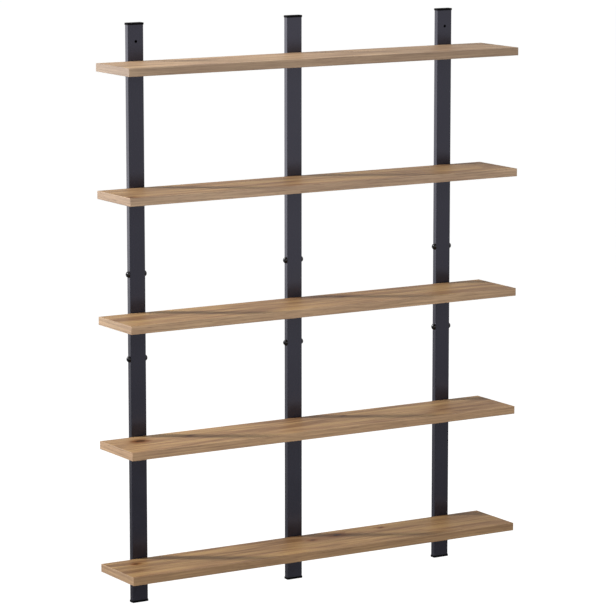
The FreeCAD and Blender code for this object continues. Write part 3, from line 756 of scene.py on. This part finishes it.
# %% [markdown]
# ## Floor
# The shelf hangs clear of a pale floor, a matt painted sheet that scatters light evenly and shows only soft
# shadows. The lamps reach only a part of it. More lamps could even that out, but they would light the shelf
# too. So the floor also glows for the camera, less in the lamps' pool and more outside it, until all of it is
# white and the shelf's shadow still shows. From below it is clear, so that the shelf can be seen from there.

# %% Floor sheet
# in metres
FLOOR_DROP = 0.6
FLOOR_REACH = 60.0
floor_mesh = bpy.data.meshes.new("studio_floor")
sides = ((-1, -1), (1, -1), (1, 1), (-1, 1))
floor_height = cad_box[0].z - FLOOR_DROP
corners = [(x * FLOOR_REACH, y * FLOOR_REACH, floor_height) for x, y in sides]
floor_mesh.from_pydata(corners, [], [(0, 1, 2, 3)])
floor = bpy.data.objects.new("studio_floor", floor_mesh)
bpy.context.scene.collection.objects.link(floor)
floor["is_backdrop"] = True
# reflections see the world's own floor instead, which has no edge and no pool of light
floor.visible_glossy = False
print("floor", FLOOR_DROP, "m under the shelf")

# %% Matt floor paint that keeps the shadow
FLOOR_PALE = "#c2c2c2"
FLOOR_PALER = "#c6c6c6"
MOTTLE_SIZE = 1000.0 / 3
# glow in the middle of the lamps' pool and outside it, with the pool's middle and radius in metres
NEAR_LIFT, FAR_LIFT = 0.29, 0.87
POOL_MIDDLE = (-1.1, 0.3, 0.0)
POOL_REACH = 4.4

material, tree = new_material("pale_studio_floor")
rays = add(tree, "LightPath")
here = add(tree, "TexCoord").outputs["Object"]
mottle = add(tree, "TexNoise", {"Vector": here, "Scale": 1 / (MOTTLE_SIZE * MM)})
pale = add(tree, "ValToRGB", {"Fac": mottle}, [(NOISE_LOW, FLOOR_PALE), (NOISE_HIGH, FLOOR_PALER)])
matt = add(tree, "BsdfDiffuse", {"Color": pale})
flat = add(tree, "VectorMath", {0: here, 1: (1.0, 1.0, 0.0)}, operation="MULTIPLY")
away = add(tree, "VectorMath", {0: flat, 1: POOL_MIDDLE}, operation="DISTANCE")
lift = add(tree, "MapRange", {0: away, "From Max": POOL_REACH, "To Min": NEAR_LIFT, "To Max": FAR_LIFT},
           interpolation_type="SMOOTHSTEP")
seen = add(tree, "Math", {0: lift, 1: rays.outputs["Is Camera Ray"]}, operation="MULTIPLY")
lit = add(tree, "AddShader", {0: matt, 1: add(tree, "Emission", {"Strength": seen})})
below = add(tree, "NewGeometry").outputs["Backfacing"]
clear_below = add(tree, "MixShader", {0: below, 1: lit, 2: add(tree, "BsdfTransparent")})
add(tree, "OutputMaterial", {"Surface": clear_below})
floor_mesh.materials.append(material)
print(material.name, "with", len(tree.nodes), "nodes")

# %% [markdown]
# ## World
# The camera sees the world as plain white, and a reflection sees the same white above the horizon, with a dim
# floor below it. That is why the uprights grow darker towards their feet: there they mirror more of the floor.
# What the world adds to the light on matt surfaces is set by itself and kept low, so that the softboxes draw
# the shadows. An environment image could do all this, but a few nodes say it plainly.

# %% White world with a dim floor
AMBIENT = 0.26
MIRRORED_WHITE = 1.0
FLOOR_SHADE = 0.12
# how far above the level the dim floor ends, and the white begins, in degrees
FLOOR_END, WHITE_START = -14.0, -9.4
WHITE = "#ffffff"

world = bpy.data.worlds.new("white_studio")
bpy.context.scene.world = world
world.use_nodes = True
tree = world.node_tree
tree.nodes.clear()
rays = add(tree, "LightPath")
mirrored = add(tree, "Math", {0: rays.outputs["Is Glossy Ray"], 1: rays.outputs["Is Transmission Ray"]},
               operation="MAXIMUM")
strength = add(tree, "MapRange", {0: mirrored, "To Min": AMBIENT, "To Max": MIRRORED_WHITE})
direction = add(tree, "TexCoord").outputs["Generated"]
upwards = add(tree, "SeparateXYZ", {0: direction}).outputs["Z"]
horizon = add(tree, "MapRange", {0: upwards, "From Min": math.sin(math.radians(FLOOR_END)),
                                 "From Max": math.sin(math.radians(WHITE_START)),
                                 "To Min": FLOOR_SHADE, "To Max": 1.0}, interpolation_type="SMOOTHSTEP")
light = add(tree, "Math", {0: strength, 1: horizon}, operation="MULTIPLY")
level = add(tree, "Mix", {0: rays.outputs["Is Camera Ray"], 1: light, 2: 1.0})
white = add(tree, "Background", {"Color": linear(WHITE), "Strength": level})
add(tree, "OutputWorld", {"Surface": white})
print("world of strength", AMBIENT, "on matt surfaces and", MIRRORED_WHITE, "in reflections")

# %% [markdown]
# ## Softboxes
# The main softbox stands to the left, above and a little behind, as the shadows of the uprights on the boards
# show. A sun lamp would give them hard edges. This one is tall, narrow and fairly far away, so they are soft
# but deep. A wide panel behind it lights the left sides of the uprights, and two weaker ones fill the front
# and the tops.

# %% Four softboxes
SOFTBOXES = {
    # name: place, aim, width and height in metres, watts
    "left_softbox": ((-2.8, 1.58, 1.04), (0.0, -0.08, -0.6), (0.34, 0.9), 172.0),
    "rim_panel": ((-2.0, 2.6, -0.2), (0.0, -0.1, -0.5), (1.2, 1.8), 8.6),
    "front_softbox": ((-0.1, -2.4, 0.0), (0.0, -0.1, -0.4), (1.4, 1.4), 35.5),
    "top_softbox": ((-0.2, -0.2, 0.9), (0.0, -0.1, -0.3), (1.2, 0.6), 7.0),
}
# in front or on top a lamp would burn a white stripe into the coat, so only those on the left may mirror
MIRRORED = ("left_softbox", "rim_panel")

for name, (place, aim, (width, height), watts) in SOFTBOXES.items():
    lamp = bpy.data.lights.new(name, "AREA")
    lamp.shape = "RECTANGLE"
    lamp.size, lamp.size_y, lamp.energy = width, height, watts
    softbox = bpy.data.objects.new(name, lamp)
    softbox.location = place
    softbox.rotation_euler = (Vector(aim) - Vector(place)).to_track_quat("-Z", "Y").to_euler()
    softbox.visible_camera = False
    softbox.visible_glossy = name in MIRRORED
    bpy.context.scene.collection.objects.link(softbox)
    print(name, watts, "W")

# %% [markdown]
# ## Camera
# The photograph was taken from the left, a little above the shelf, through a long lens from far away, so the
# boards run together only slightly. The camera could be placed by its coordinates. Two angles and a distance
# from the point that it looks at are easier to match, because each changes one thing in the picture.

# %% Camera
AZIMUTH = math.radians(-31.4)
ELEVATION = math.radians(9.5)
DISTANCE = 7.272
AIM = Vector((-0.005, -0.080, -0.609))
FOCAL_LENGTH, SENSOR_WIDTH = 190.0, 36.0

lens = bpy.data.cameras.new("studio_camera")
lens.lens, lens.sensor_width = FOCAL_LENGTH, SENSOR_WIDTH
camera = bpy.data.objects.new("studio_camera", lens)
level_reach = math.cos(ELEVATION)
back = Vector((math.sin(AZIMUTH) * level_reach, -math.cos(AZIMUTH) * level_reach, math.sin(ELEVATION)))
camera.location = AIM + DISTANCE * back
camera.rotation_euler = (-back).to_track_quat("-Z", "Y").to_euler()
bpy.context.scene.collection.objects.link(camera)
bpy.context.scene.camera = camera
bpy.context.scene.view_settings.view_transform = "Standard"
print("camera at", [round(v, 3) for v in camera.location])

# %% [markdown]
# ## Sizes, and the end
# Here the dressed shelf's box is measured against the CAD model's. The dressed shelf may not be larger than
# the CAD model. That could be judged by eye, but two boxes in a file can be compared exactly.

# %% Compare sizes
visual_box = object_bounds()
past_cad = [max(c - v, 0.0) for c, v in zip(cad_box[0], visual_box[0])]
past_cad += [max(v - c, 0.0) for c, v in zip(cad_box[1], visual_box[1])]
print("the dressed shelf stands out of the CAD box by", round(max(past_cad) / MM, 3), "mm")
